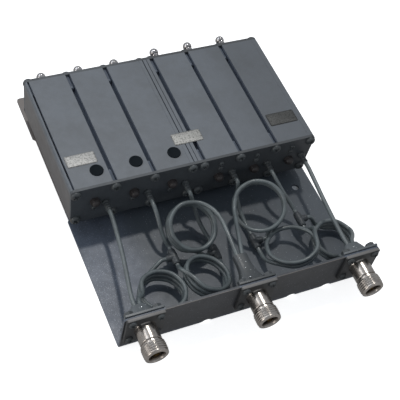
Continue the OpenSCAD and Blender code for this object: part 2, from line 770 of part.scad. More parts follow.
// Samples from b up to c, with tangents that allow for the uneven spacing of the points
function span(a, b, c, d, k) =
  let (
    e = sqrt(norm(b - a)),
    f = sqrt(norm(c - b)),
    g = sqrt(norm(d - c)),
    u = f * ((b - a) / e - (c - a) / (e + f)) + c - b,
    v = c - b - f * ((d - b) / (f + g) - (d - c) / g)
  )
  [for (j = [0:k - 1]) let (t = j / k)
    b + t * u + t * t * (3 * (c - b) - 2 * u - v) + t * t * t * (2 * (b - c) + u + v)];

function unit(v) = v / norm(v);

// Direction of a path at each of its points, with the given directions at its ends
function headings(p, first, last) =
  let (n = len(p))
  [for (i = [0:n - 1]) unit(i == 0 ? first : i == n - 1 ? last : p[i + 1] - p[i - 1])];

// Side vectors carried along a path without twist
function sides(h, i = 1, list = []) =
  let (s = len(list) > 0 ? list : [unit(cross(h[0], abs(h[0][2]) < 0.9 ? [0, 0, 1] : [1, 0, 0]))])
  i >= len(h) ? s : sides(h, i + 1, concat(s, [unit(s[i - 1] - (s[i - 1] * h[i]) * h[i])]));

// A cable along a route, with eight sides
module cable(path) {
  n = 8;
  p = smooth(path, 2);
  l = len(path);
  h = headings(p, path[1] - path[0], path[l - 1] - path[l - 2]);
  s = sides(h);
  m = len(p);
  points = [for (i = [0:m - 1]) for (j = [0:n - 1])
    let (a = 360 * j / n) p[i] + cable_d / 2 * (cos(a) * s[i] + sin(a) * cross(h[i], s[i]))];
  walls = [for (i = [0:m - 2]) for (j = [0:n - 1])
    let (a = i * n + j, b = i * n + (j + 1) % n) each [[a, a + n, b + n], [a, b + n, b]]];
  ends = [[for (j = [0:n - 1]) j], [for (j = [n - 1:-1:0]) (m - 1) * n + j]];
  color(painted) polyhedron(points, concat(walls, ends), convexity = 10);
}

module lead_1() { cable(lead_1_path); }
module lead_2() { cable(lead_2_path); }
module lead_3() { cable(lead_3_path); }
module lead_4() { cable(lead_4_path); }
module lead_5() { cable(lead_5_path); }
module lead_6() { cable(lead_6_path); }
module link_1() { cable(link_1_path); }
module link_2() { cable(link_2_path); }
module link_3() { cable(link_3_path); }
module link_4() { cable(link_4_path); }
module link_5() { cable(link_5_path); }
module link_6() { cable(link_6_path); }

tray();
box_spacers();
spacer_screws();
bank_low();
bank_high();
port_plugs();
front_end_plate();
back_end_plate();
front_plate_screws();
back_plate_screws();
conductor_1();
conductor_2();
conductor_3();
conductor_4();
conductor_5();
conductor_6();
resonator_nuts();
loop_screws();
coupling_loops();
cable_glands();
tuning_rod_1();
tuning_rod_2();
tuning_rod_3();
tuning_rod_4();
tuning_rod_5();
tuning_rod_6();
rod_lock_nuts();
jack_low();
jack_common();
jack_high();
jack_insulators();
jack_contacts();
flange_screws();
flange_nuts();
hood_low();
hood_common();
hood_high();
harness_tees();
lead_1();
lead_2();
lead_3();
lead_4();
lead_5();
lead_6();
link_1();
link_2();
link_3();
link_4();
link_5();
link_6();
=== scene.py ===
import bpy
import math
import numpy as np
from mathutils import Matrix, Vector


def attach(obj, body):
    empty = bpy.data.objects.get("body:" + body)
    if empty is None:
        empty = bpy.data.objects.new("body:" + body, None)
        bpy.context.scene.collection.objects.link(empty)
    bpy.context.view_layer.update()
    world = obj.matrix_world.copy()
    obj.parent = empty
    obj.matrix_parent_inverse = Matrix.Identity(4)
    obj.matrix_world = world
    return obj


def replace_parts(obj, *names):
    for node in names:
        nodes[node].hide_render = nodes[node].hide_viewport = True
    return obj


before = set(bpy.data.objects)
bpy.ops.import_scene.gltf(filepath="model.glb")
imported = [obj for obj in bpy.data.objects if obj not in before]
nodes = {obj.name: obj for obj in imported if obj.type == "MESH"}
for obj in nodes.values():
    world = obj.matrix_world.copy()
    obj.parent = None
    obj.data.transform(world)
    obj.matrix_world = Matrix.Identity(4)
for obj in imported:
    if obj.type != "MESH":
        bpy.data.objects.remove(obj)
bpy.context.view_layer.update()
print("frame loaded:", len(nodes), "nodes")

mm = 0.001
tau = 2 * math.pi


# Shader wires: a socket that takes part in sums, and one method for every other node
class Wire:
    def __init__(self, net, socket):
        self.net, self.socket = net, socket

    def step(self, operation, *terms):
        return self.net.add("ShaderNodeMath", {"operation": operation}, dict(enumerate(terms)))

    def __add__(self, other): return self.step("ADD", self, other)
    def __radd__(self, other): return self.step("ADD", other, self)
    def __sub__(self, other): return self.step("SUBTRACT", self, other)
    def __rsub__(self, other): return self.step("SUBTRACT", other, self)
    def __mul__(self, other): return self.step("MULTIPLY", self, other)
    def __rmul__(self, other): return self.step("MULTIPLY", other, self)
    def __abs__(self): return self.step("ABSOLUTE", self)
    def low(self, other): return self.step("MINIMUM", self, other)
    def high(self, other): return self.step("MAXIMUM", self, other)
    def sin(self): return self.step("SINE", self)
    def root(self): return self.step("SQRT", self)

    # 0 below a, 1 above b, smooth between
    def ramp(self, a, b):
        return self.net.add("ShaderNodeMapRange", {"interpolation_type": "SMOOTHSTEP"},
                            {"Value": self, "From Min": a, "From Max": b})

    # 1 below a, 0 above b, smooth between
    def fall(self, a, b):
        return self.net.add("ShaderNodeMapRange", {"interpolation_type": "SMOOTHSTEP"},
                            {"Value": self, "From Min": a, "From Max": b, "To Min": 1.0, "To Max": 0.0})


class Net:
    def __init__(self, name, tree=None):
        self.material = None if tree else bpy.data.materials.new(name)
        if not tree:
            self.material.use_nodes = True
            tree = self.material.node_tree
        self.tree = tree
        tree.nodes.clear()

    def add(self, kind, settings=None, values=None, out=0):
        node = self.tree.nodes.new(kind)
        for key, value in (settings or {}).items():
            setattr(node, key, value)
        for key, value in (values or {}).items():
            socket = node.inputs[key]
            if isinstance(value, Wire):
                self.tree.links.new(value.socket, socket)
            else:
                socket.default_value = value
        return Wire(self, node.outputs[out]) if len(node.outputs) else node

    # Place in millimetres, in the frame shared with the CAD
    def place(self):
        coords = self.add("ShaderNodeTexCoord", {}, {}, "Object")
        return self.add("ShaderNodeVectorMath", {"operation": "SCALE"}, {0: coords, "Scale": 1000.0})

    def parts(self, vector):
        node = self.tree.nodes.new("ShaderNodeSeparateXYZ")
        self.tree.links.new(vector.socket, node.inputs[0])
        return [Wire(self, s) for s in node.outputs]

    def stretch(self, vector, scale):
        return self.add("ShaderNodeVectorMath", {"operation": "MULTIPLY"}, {0: vector, 1: scale})

    def noise(self, vector, scale, detail=3.0, rough=0.55):
        return self.add("ShaderNodeTexNoise", {},
                        {"Vector": vector, "Scale": scale, "Detail": detail, "Roughness": rough})

    def cells(self, vector, scale, out="Distance"):
        return self.add("ShaderNodeTexVoronoi", {}, {"Vector": vector, "Scale": scale}, out)

    # Round dots of radius a to b in some of the cells: those whose colour channel is above c to d
    def dots(self, vector, scale, radius, channel, chosen):
        picked = self.parts(self.cells(vector, scale, "Color"))[channel].ramp(*chosen)
        return self.cells(vector, scale).fall(*radius) * picked

    def mix(self, factor, a, b):
        return self.add("ShaderNodeMix", {"data_type": "RGBA"}, {0: factor, 6: a, 7: b}, 2)

    # Mixes in one tone where the mask is 1: its share and its colour
    def tint(self, mask, colour, tone):
        return self.mix(mask * tone["share"], colour, grey(*tone["colour"]))

    def bump(self, height, strength, distance, normal=None):
        values = {"Height": height, "Strength": strength, "Distance": distance}
        if normal:
            values["Normal"] = normal
        return self.add("ShaderNodeBump", {}, values)

    # Share of the white background that a ray meets: all of it from the camera, a part in metal
    def shownRay(self, inMetal=0.2):
        camera, glossy, through = [self.add("ShaderNodeLightPath", {}, {}, "Is %s Ray" % kind)
                                   for kind in ("Camera", "Glossy", "Transmission")]
        return camera.high(glossy * inMetal).high(through)

    def finish(self, values):
        surface = self.add("ShaderNodeBsdfPrincipled", {}, values)
        self.add("ShaderNodeOutputMaterial", {}, {"Surface": surface})
        return self.material


# Screen colour 0 to 255 as linear light
def grey(r, g, b):
    lin = [c / 255 / 12.92 if c < 10.3 else ((c / 255 + 0.055) / 1.055) ** 2.4 for c in (r, g, b)]
    return (*lin, 1.0)


# A linear colour made darker or lighter: c' = min(1, c f + lift)
def toned(colour, factor, lift=0.0):
    return tuple(min(1.0, c * factor + lift) for c in colour[:3]) + (1.0,)


# Distance to the nearest of some straight edges, each along one axis: the other two axes and their places
def edgeDistance(coords, edges):
    far = None
    for edge in edges:
        (a, placeA), (b, placeB) = edge.items()
        offA, offB = coords[a] - placeA, coords[b] - placeB
        gap = (offA * offA + offB * offB).root()
        far = gap if far is None else far.low(gap)
    return far


# Sprayed paint: orange peel, sparkle, soft variation, dust, and edges made lighter: wear, and on the tray's
# edges a painted highlight
def paint(name, base, shade, rough, sparkle=0.3, edges=(), wearAndHighlight=0.6, peel=0.05, flecks=0.0, zone=None):
    n = Net(name)
    base, shade = grey(*base), grey(*shade)
    p = n.place()
    coords = dict(zip("xyz", n.parts(p)))
    wide = n.noise(p, 0.035, 3.0)
    patch = n.noise(p, 0.16, 4.0, 0.6)
    fine = n.noise(p, 1.3, 2.0, 0.6)
    grain = n.noise(p, 3.2, 1.0)
    spark = n.parts(n.cells(p, 2.1, "Color"))[0].ramp(0.86, 0.97) * grain.ramp(0.42, 0.62)
    colour = n.mix((wide * 0.65 + patch * 0.35).ramp(0.34, 0.68), base, shade)
    colour = n.mix(spark * sparkle, colour, toned(base, 2.1, 0.02))
    dust = patch.ramp(0.58, 0.78) * grain.ramp(0.4, 0.7) * 0.25
    colour = n.mix(dust, colour, toned(base, 1.35, 0.012))
    roughness = rough + (patch - 0.5) * 0.22 + (grain - 0.5) * 0.12 - spark * 0.12 * sparkle
    if edges:
        # Edges made lighter: wear on the box, and a painted highlight along the tray's edges
        wornAndHighlit = (edgeDistance(coords, edges) + (fine - 0.5) * 1.1).fall(0.25, 0.75)
        wornAndHighlit = wornAndHighlit * patch.ramp(0.36, 0.6) * wearAndHighlight
        colour = n.mix(wornAndHighlit, colour, toned(base, 3.0, 0.06))
        roughness = roughness - wornAndHighlit * 0.1
    if zone:
        colour = zone(n, coords, colour, fine)
    if flecks:
        colour = n.mix(n.dots(p, 0.7, (0.16, 0.26), 0, (0.7, 0.9)) * flecks, colour, grey(206, 210, 212))
    height = fine * 0.7 + grain * 0.3
    normal = n.bump(height, 1.0, peel * mm, n.bump(patch, 0.6, 0.12 * mm))
    return n.finish({"Base Color": colour, "Roughness": roughness.low(0.95).high(0.12), "Metallic": 0.0,
                     "Specular IOR Level": 0.5, "Normal": normal})


# Plated or bare metal: turning lines about Y, stains and fine scratches
def metal(name, base, stain, rough, lines=0.25, stained=0.5, scratch=0.3):
    n = Net(name)
    base, stain = grey(*base), grey(*stain)
    p = n.place()
    patch = n.noise(p, 0.3, 4.0, 0.62)
    fine = n.noise(p, 2.6, 3.0, 0.6)
    hair = n.noise(n.stretch(p, (0.25, 3.0, 0.25)), 0.9, 2.0)
    mark = n.noise(n.stretch(p, (5.0, 0.35, 1.2)), 1.1, 2.0)
    tint = patch.ramp(0.42, 0.72) * stained
    colour = n.mix(tint, base, stain)
    colour = n.mix(fine.ramp(0.62, 0.8) * 0.35, colour, toned(base, 0.55))
    roughness = rough + tint * 0.16 + (fine - 0.5) * 0.1 + mark.ramp(0.6, 0.75) * scratch * 0.25
    height = hair * lines + mark.ramp(0.6, 0.7) * scratch * 0.4
    return n.finish({"Base Color": colour, "Roughness": roughness.low(0.9).high(0.05), "Metallic": 1.0,
                     "Normal": n.bump(height, 1.0, 0.02 * mm)})


# Cable jacket: satin, with a faint cross of the braid below it, scuffs and light grains
def jacket(name, base, shade, rough, strands=8.0, lay=4.4):
    n = Net(name)
    base, shade = grey(*base), grey(*shade)
    p = n.place()
    along, around = n.parts(n.add("ShaderNodeUVMap", {"uv_map": "along"}, {}))[:2]
    wide = n.noise(p, 0.11, 3.0)
    fine = n.noise(p, 1.7, 3.0, 0.6)
    weave = ((along * lay + around * strands) * tau).sin() * ((along * lay - around * strands) * tau).sin()
    scuff = n.noise(n.stretch(p, (1.0, 1.0, 2.0)), 0.55, 4.0, 0.7).ramp(0.6, 0.74)
    colour = n.mix(wide.ramp(0.36, 0.66), base, shade)
    colour = n.mix(scuff * 0.35, colour, toned(base, 1.7, 0.01))
    colour = n.mix(n.dots(p, 1.6, (0.12, 0.24), 0, (0.72, 0.9)) * 0.6, colour, grey(196, 202, 204))
    roughness = rough + (fine - 0.5) * 0.14 + scuff * 0.14
    normal = n.bump(weave * 0.12 + fine * 0.5, 1.0, 0.04 * mm)
    return n.finish({"Base Color": colour, "Roughness": roughness.low(0.9).high(0.1),
                     "Specular IOR Level": 0.6, "Coat Weight": 0.3, "Coat Roughness": 0.18, "Normal": normal})


# Moulded plastic
def plastic(name, base, rough, mottle=0.3, specular=0.5):
    n = Net(name)
    base = grey(*base)
    p = n.place()
    wide = n.noise(p, 0.4, 3.0)
    fine = n.noise(p, 2.2, 3.0, 0.6)
    colour = n.mix(wide.ramp(0.35, 0.7) * mottle, base, toned(base, 0.7))
    roughness = rough + (fine - 0.5) * 0.16
    return n.finish({"Base Color": colour, "Roughness": roughness.low(0.95).high(0.1),
                     "Specular IOR Level": specular, "Normal": n.bump(fine, 0.8, 0.03 * mm)})


# Brushed plate with a worn rim: the rim lies where the lesser of the distances to the sides is small
def brushed(name, base, dark, rough, centre, half):
    n = Net(name)
    base, dark = grey(*base), grey(*dark)
    p = n.place()
    x, y, z = n.parts(p)
    hair = n.noise(n.stretch(p, (0.4, 5.0, 1.0)), 1.6, 3.0)
    spot = n.noise(p, 0.9, 4.0, 0.65)
    inside = (half[0] - abs(x - centre[0])).low(half[1] - abs(y - centre[1]))
    rim = (inside + (spot - 0.5) * 0.8).fall(0.3, 1.0)
    colour = n.mix(hair.ramp(0.38, 0.66) * 0.4, base, dark)
    colour = n.mix(spot.ramp(0.48, 0.6) * 0.7 + rim * 0.3, colour, toned(base, 0.32))
    roughness = rough + (hair - 0.5) * 0.25 + rim * 0.2
    return n.finish({"Base Color": colour, "Roughness": roughness.low(0.9).high(0.1), "Metallic": 0.75,
                     "Normal": n.bump(hair, 0.6, 0.02 * mm)})


# Places on the box and the tray in millimetres, which the looks and the pieces share
box = {"middle": -3.0, "low": -91.2, "high": 85.2, "front": -14.0, "back": 84.4, "top": 43.0}
wall = {"front": -105.0, "back": -103.4, "top": 34.0, "axis": 22.4}
jackAt = {"low": -75.4, "common": 0.0, "high": 75.4}
boxEdges = [{"x": box["low"], "z": box["top"]}, {"x": box["high"], "z": box["top"]},
            {"y": box["front"], "z": box["top"]}, {"y": box["back"], "z": box["top"]}]
# The tray's floor edges, which get a painted highlight along them
trayEdges = [{"x": -89.0, "z": 1.0}, {"x": 89.0, "z": 1.0}]

# The tray's paint by place, painted light and shade: painted glints along the low side, painted shade on the
# front of the wall and, greener, on the floor, painted warm light on the low rear corner, and painted shade
# on the top edge of the wall between the jacks, with a painted highlight along its front
trayLightAndShade = {
    # grain: painted glints, light dots in a band on the low side of the floor
    "grain": {"x": (-73.0, -66.0), "y": (-44.0, -36.0), "share": 0.55, "colour": (214, 216, 226)},
    # wall: painted shade, warmer, on the front face of the wall
    "wall": {"y": (-104.9, -104.7), "z": (2.0, 6.0), "share": 0.7, "colour": (80, 78, 74)},
    # floor: painted shade on the floor behind the wall, also greener
    "floor": {"x": (-62.0, -44.0), "y": (-103.0, -100.0), "share": 0.75, "colour": (74, 82, 88)},
    # corner: painted warm light on the low rear corner of the tray
    "corner": {"x": (-84.0, -80.0), "y": (-10.0, 10.0), "share": 0.65, "colour": (136, 124, 112)},
    # top: painted shade on the top edge of the wall between the jacks
    "top": {"z": (33.5, 33.8), "share": 0.75, "colour": (48, 50, 52)},
    # the line along the front of the wall's top: a painted highlight
    "wornAndHighlit": {"y": (-104.7, -104.4), "share": 0.6, "colour": (150, 142, 134)},
    "floorTop": (3.0, 5.0), "jackHalf": (12.6, 13.0), "jackStep": jackAt["high"] / 2,
}


def trayLightAndShadeZones(n, coords, colour, fine):
    x, y, z = coords.values()
    t = trayLightAndShade
    onFloor = z.fall(*t["floorTop"])
    # Painted glints: light dots in a band on the low side of the floor, where the light falls
    glintBand = x.fall(*t["grain"]["x"]) * y.fall(*t["grain"]["y"]) * onFloor
    colour = n.tint(n.dots(n.place(), 1.25, (0.14, 0.3), 1, (0.5, 0.8)) * glintBand, colour, t["grain"])
    # Painted shade, warmer, on the front face of the wall
    colour = n.tint(y.fall(*t["wall"]["y"]) * z.ramp(*t["wall"]["z"]), colour, t["wall"])
    # Painted shade on the floor behind the wall, also greener
    colour = n.tint(x.ramp(*t["floor"]["x"]) * y.ramp(*t["floor"]["y"]) * onFloor, colour, t["floor"])
    # Painted warm light on the low rear corner of the tray
    colour = n.tint(x.fall(*t["corner"]["x"]) * y.ramp(*t["corner"]["y"]), colour, t["corner"])
    # Painted shade on the wall's top edge between the jacks
    free = abs(abs(abs(x) - t["jackStep"]) - t["jackStep"]).ramp(*t["jackHalf"])
    top = z.ramp(*t["top"]["z"]) * free
    colour = n.tint(top, colour, t["top"])
    # Painted highlight: a thin lighter line along the front of the wall's top edge
    return n.tint(top * (y + fine * 0.4).fall(*t["wornAndHighlit"]["y"]), colour, t["wornAndHighlit"])


# The box and its screws by place, all painted light and shade: painted shade towards the high end, painted
# light in the upper slots, and painted warm light on the low side
boxLightAndShade = {
    # end: painted shade towards the high end
    "end": {"x": (10.0, 70.0), "share": 0.26, "colour": (40, 42, 42)},
    # painted light inside the upper slots and on the screws in them
    "slot": {"half": (86.0, 86.8), "front": (-13.4, -13.2), "back": (83.6, 83.8), "low": (33.0, 36.0),
             "high": (42.3, 42.8), "share": 0.7, "colour": (124, 133, 148)},
    # side: painted warm light on the low side of the box
    "side": {"x": (-89.6, -89.3), "z": (35.0, 41.0), "share": 0.55, "colour": (96, 86, 78)},
}


def boxLightAndShadeZones(n, coords, colour, fine):
    x, y, z = coords.values()
    # Painted light inside the upper slots, so the shaded channels read mid-grey
    s = boxLightAndShade["slot"]
    slot = z.fall(*s["high"]) * z.ramp(*s["low"]) * abs(x - box["middle"]).fall(*s["half"])
    slot = slot * y.ramp(*s["front"]) * y.fall(*s["back"])
    # Painted shade towards the high end
    colour = n.tint(x.ramp(*boxLightAndShade["end"]["x"]), colour, boxLightAndShade["end"])
    colour = n.tint(slot, colour, s)
    # Painted warm light on the low side of the box
    return n.tint(x.fall(*boxLightAndShade["side"]["x"]) * z.fall(*boxLightAndShade["side"]["z"]), colour, boxLightAndShade["side"])


# Painted shade on the end plates towards the high end and on the middle hood, and a painted highlight on the
# flanges' tops
plateShade = {"x": (-50.0, 30.0), "share": 0.5, "colour": (52, 54, 56)}
# Painted shade on the middle hood
hoodShade = {"half": (14.0, 16.0), "share": 0.75, "colour": (60, 64, 66)}
# Painted highlight on the flanges' top faces
flangeHighlight = {"z": (34.9, 35.15), "share": 0.8, "colour": (132, 130, 128)}


# Painted shade on the end plates towards the high end
def plateShadeZones(n, coords, colour, fine):
    return n.tint(coords["x"].ramp(*plateShade["x"]), colour, plateShade)


# Painted shade on the middle hood
def hoodShadeZones(n, coords, colour, fine):
    return n.tint(abs(coords["x"]).fall(*hoodShade["half"]), colour, hoodShade)


# Painted highlight on the flanges' top faces, ragged by noise
def flangeHighlightZones(n, coords, colour, fine):
    return n.tint((coords["z"] + fine * 0.3).ramp(*flangeHighlight["z"]), colour, flangeHighlight)


# Bare plates on the lid: centre, half width and half depth, and their metal
lidPlates = {
    "plateLeft": {"centre": (-76.8, 9.6), "half": (10.2, 4.7),
                  "base": (178, 178, 176), "dark": (132, 132, 131)},
    "plateMiddle": {"centre": (-2.4, 8.6), "half": (10.5, 4.8),
                    "base": (172, 172, 169), "dark": (122, 122, 120)},
    "plateRight": {"centre": (69.0, 7.2), "half": (10.6, 5.2),
                   "base": (88, 89, 88), "dark": (46, 46, 47)},
}
paints = {
    "boxPaint": {"base": (113, 119, 126), "shade": (103, 108, 113), "rough": 0.42, "sparkle": 0.12,
                 "edges": boxEdges, "wearAndHighlight": 0.15, "zone": boxLightAndShadeZones},
    "trayPaint": {"base": (101, 110, 124), "shade": (84, 92, 104), "rough": 0.4, "sparkle": 0.6,
                  "edges": trayEdges, "wearAndHighlight": 0.3, "flecks": 0.3, "zone": trayLightAndShadeZones},
    "platePaint": {"base": (88, 93, 97), "shade": (76, 80, 84), "rough": 0.5, "sparkle": 0.1,
                   "zone": plateShadeZones},
    "hoodPaint": {"base": (106, 111, 115), "shade": (92, 98, 101), "rough": 0.36, "sparkle": 0.2,
                  "flecks": 0.6, "zone": hoodShadeZones},
    "screwPaint": {"base": (86, 91, 93), "shade": (72, 76, 78), "rough": 0.42, "sparkle": 0.1,
                   "zone": boxLightAndShadeZones},
    "nutPaint": {"base": (58, 54, 54), "shade": (50, 46, 46), "rough": 0.48, "sparkle": 0.1},
    "flangePaint": {"base": (66, 67, 68), "shade": (56, 57, 58), "rough": 0.42, "sparkle": 0.1,
                    "zone": flangeHighlightZones},
    "sleeve": {"base": (74, 79, 82), "shade": (62, 66, 70), "rough": 0.4, "sparkle": 0.05, "peel": 0.08},
}
metals = {
    "solder": {"base": (222, 226, 228), "stain": (170, 172, 174), "rough": 0.16},
    "nickel": {"base": (184, 178, 172), "stain": (124, 114, 106), "rough": 0.22,
               "lines": 0.05, "scratch": 0.05},
    "chrome": {"base": (192, 190, 190), "stain": (112, 102, 98), "rough": 0.1,
               "lines": 0.1, "stained": 0.4},
    "brass": {"base": (206, 176, 110), "stain": (140, 108, 62), "rough": 0.3},
    "copper": {"base": (206, 140, 104), "stain": (130, 84, 62), "rough": 0.32},
    "steel": {"base": (190, 190, 190), "stain": (140, 138, 134), "rough": 0.28},
}
looks = {name: paint(name, **settings) for name, settings in paints.items()}
looks.update({name: metal(name, **settings) for name, settings in metals.items()})
looks["cable"] = jacket("cable", (102, 111, 113), (88, 96, 98), 0.42)
looks["plug"] = plastic("plug", (18, 26, 31), 0.7, specular=0.12)
looks["bead"] = plastic("bead", (226, 222, 208), 0.35)
for name, settings in lidPlates.items():
    looks[name] = brushed(name, rough=0.5, **settings)

six = range(1, 7)
cadLooks = {
    "boxPaint": ["bank_low", "bank_high"],
    "trayPaint": ["tray"],
    "platePaint": ["front_end_plate", "back_end_plate"],
    "hoodPaint": ["hood_low", "hood_common", "hood_high", "harness_tees"],
    "screwPaint": ["front_plate_screws", "back_plate_screws", "resonator_nuts", "loop_screws",
                   "flange_screws", "flange_nuts", "cable_glands"],
    "nickel": ["box_spacers", "jack_low", "jack_common", "jack_high"],
    "chrome": ["tuning_rod_%d" % i for i in six],
    "brass": ["rod_lock_nuts", "jack_contacts"],
    "copper": ["conductor_%d" % i for i in six] + ["coupling_loops"],
    "steel": ["spacer_screws"],
    "cable": ["lead_%d" % i for i in six] + ["link_%d" % i for i in six],
    "plug": ["port_plugs"],
    "bead": ["jack_insulators"],
}
for look, names in cadLooks.items():
    for name in names:
        for holder in nodes[name].material_slots:
            holder.material = looks[look]
print("materials made:", len(looks))


# New pieces. A grid of points with shape (rows, columns, 3) in millimetres becomes quads, turned
# outwards by the sign of its volume. Points that meet are welded, so seams and poles close.
def faces(g):
    rows, columns = g.shape[:2]
    i, j = np.meshgrid(np.arange(rows - 1), np.arange(columns), indexing="ij")
    k = (j + 1) % columns
    corners = [i * columns + j, i * columns + k, (i + 1) * columns + k, (i + 1) * columns + j]
    quads = np.stack(corners, -1).reshape(-1, 4)
    p = g.reshape(-1, 3)[quads]
    p = p - p.mean((0, 1))
    volume = np.einsum("ij,ij", p[:, 0], np.cross(p[:, 1], p[:, 2]) + np.cross(p[:, 2], p[:, 3]))
    return quads if volume > 0 else quads[:, ::-1]


def putIn(name, grids, look, body="duplexer", crease=32, run=None):
    quads, start = [], 0
    for g in grids:
        quads.append(faces(g) + start)
        start += g.shape[0] * g.shape[1]
    points, quads = np.concatenate([g.reshape(-1, 3) for g in grids]), np.concatenate(quads)
    where, same = np.unique(np.round(points, 4), axis=0, return_inverse=True)
    corner = same.reshape(-1)[quads]
    keep = corner != np.roll(corner, -1, 1)
    keep[keep.sum(1) < 3] = False
    count = keep.sum(1)
    count = count[count > 2]
    mesh = bpy.data.meshes.new(name)
    mesh.vertices.add(len(where))
    mesh.vertices.foreach_set("co", (where * mm).ravel().astype(np.float32))
    mesh.loops.add(int(count.sum()))
    mesh.loops.foreach_set("vertex_index", corner[keep].astype(np.int32))
    mesh.polygons.add(len(count))
    mesh.polygons.foreach_set("loop_start", (np.cumsum(count) - count).astype(np.int32))
    mesh.polygons.foreach_set("use_smooth", np.full(len(count), True))
    mesh.update(calc_edges=True)
    mesh.set_sharp_from_angle(angle=math.radians(crease))
    if run is not None:  # length along the cable and share of the way around it
        columns = grids[0].shape[1]
        around = (quads % columns) / columns
        around[(around == 0) & (around.max(1) > 0.5)[:, None]] = 1.0
        uv = np.stack([run[quads // columns], around], -1)[keep]
        mesh.uv_layers.new(name="along").data.foreach_set("uv", uv.ravel().astype(np.float32))
    mesh.materials.append(looks[look])
    piece = bpy.data.objects.new(name, mesh)
    bpy.context.scene.collection.objects.link(piece)
    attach(piece, body)
    return piece


# Point on a tilted ring: P = C + R_y(ay) R_x(ax) (rx cos t, ry sin t, h)
def ring(c, rx, ry, ax, ay, t, h):
    t, ax, ay = np.radians(t), math.radians(ax), math.radians(ay)
    x, y = rx * np.cos(t), ry * np.sin(t)
    z = y * math.sin(ax) + h * math.cos(ax)
    return np.stack([c[0] + x * math.cos(ay) + z * math.sin(ay),
                     c[1] + y * math.cos(ax) - h * math.sin(ax),
                     c[2] - x * math.sin(ay) + z * math.cos(ay)], -1)


# Points every 45 degrees or less of a coil: the ring's angle and height both grow evenly
def coil(c, rx, ry, ax, ay, start, turn, h0, h1):
    s = np.linspace(0, 1, math.ceil(abs(turn) / 45) + 1)
    return ring(c, rx, ry, ax, ay, start + turn * s, h0 + (h1 - h0) * s).tolist()


# Curve through points: cubic on each span with tangents weighted by the root of the spacing
def smoothCurve(route, k):
    p = np.array(route, float)
    q = np.concatenate([[2 * p[0] - p[1]], p, [2 * p[-1] - p[-2]]])
    w = np.sqrt(np.linalg.norm(np.diff(q, axis=0), axis=1))[:, None]
    a, b, c, d = q[:-3], q[1:-2], q[2:-1], q[3:]
    e, f, g = w[:-2], w[1:-1], w[2:]
    u = f * ((b - a) / e - (c - a) / (e + f)) + c - b
    v = c - b - f * ((d - b) / (f + g) - (d - c) / g)
    t = (np.arange(k) / k)[None, :, None]
    b, c, u, v = b[:, None], c[:, None], u[:, None], v[:, None]
    curve = b + t * u + t ** 2 * (3 * (c - b) - 2 * u - v) + t ** 3 * (2 * (b - c) + u + v)
    return np.concatenate([curve.reshape(-1, 3), p[-1:]])


# Tube: P(s, a) = C(s) + r(s) (cos a N(s) + sin a B(s)), with N carried along C without twist
def tube(path, radius, sides):
    t = np.gradient(path, axis=0)
    t[0], t[-1] = path[1] - path[0], path[-1] - path[-2]
    t /= np.linalg.norm(t, axis=1)[:, None]
    normal = np.zeros_like(path)
    normal[0] = np.cross(t[0], (0, 0, 1) if abs(t[0][2]) < 0.9 else (1, 0, 0))
    normal[0] /= np.linalg.norm(normal[0])
    for i in range(1, len(path)):
        side = normal[i - 1] - normal[i - 1] @ t[i] * t[i]
        normal[i] = side / np.linalg.norm(side)
    other = np.cross(t, normal)
    a = np.arange(sides) / sides * tau
    radius = np.broadcast_to(radius, len(path))[:, None, None]
    around = np.cos(a)[None, :, None] * normal[:, None] + np.sin(a)[None, :, None] * other[:, None]
    first = np.repeat(path[:1, None], sides, 1)
    last = np.repeat(path[-1:, None], sides, 1)
    return np.concatenate([first, path[:, None] + radius * around, last])


# Turned piece about a line along Y: P(s, a) = C + (r(s, a) cos a, y(s, a), r(s, a) sin a)
def turned(r, y, centre, sides=48):
    a = np.arange(sides) / sides * tau
    r, y = np.array(r, float), np.array(y, float)
    r = (r[:, None] if r.ndim == 1 else r) + 0 * a
    y = (y[:, None] if y.ndim == 1 else y) + 0 * a
    return np.stack([centre[0] + r * np.cos(a), centre[1] + y, centre[2] + r * np.sin(a)], -1)


# Screw thread on a stretch: r(y, a) = R - d w(y / p + a / tau), w a rounded wave faded at both ends
def thread(y, radius, depth, pitch, sides):
    a = np.arange(sides) / sides
    fade = np.clip(np.minimum(y - y.min(), y.max() - y) / pitch, 0, 1)[:, None]
    return radius - depth * (1 - fade + fade * (0.5 - 0.5 * np.cos(tau * (y[:, None] / pitch + a))))


# Pan head screw, head to -Y times the sign: y(s) = -h (1 - s^3.4)^0.45, less a cross recess
# of depth d where the lesser of |u| and |v| is under half the arm's width. All are shares of the head's
# diameter, but the thread's depth.
panHead = {"high": 0.34, "bulge": 3.4, "round": 0.45, "arm": 0.085, "armEdge": 0.03, "reach": 0.28,
           "reachEdge": 0.05, "recess": 0.17, "threadDepth": 0.3}


def screw(centre, sign, head, shank, length, pitch, turn, sides):
    h = panHead
    s = np.r_[0, np.linspace(0.05, 0.88, 15), 0.93, 0.965, 0.99, 1.0]
    a = np.arange(sides) / sides * tau + turn
    r = head / 2 * s[:, None] + 0 * a
    u, v = np.abs(r * np.cos(a)), np.abs(r * np.sin(a))
    arm = np.clip((head * h["arm"] - np.minimum(u, v)) / (head * h["armEdge"]) + 0.5, 0, 1)
    arm = arm * np.clip((head * h["reach"] - np.maximum(u, v)) / (head * h["reachEdge"]) + 0.5, 0, 1)
    y = -head * h["high"] * (1 - s ** h["bulge"])[:, None] ** h["round"] + arm * head * h["recess"]
    along = np.arange(0.3, length - 0.6, pitch / 4)
    root = shank / 2 - h["threadDepth"]
    body = thread(along, shank / 2, h["threadDepth"], pitch, sides)
    tip = [np.full(sides, q) for q in (root, root - 0.4, 0)]
    r = np.concatenate([r, [np.full(sides, root)], body, tip])
    flat = np.concatenate([[0.0], along, [length - 0.4, length, length]])
    y = np.concatenate([y, flat[:, None] + 0 * a])
    return turned(r, y * sign, centre, sides)


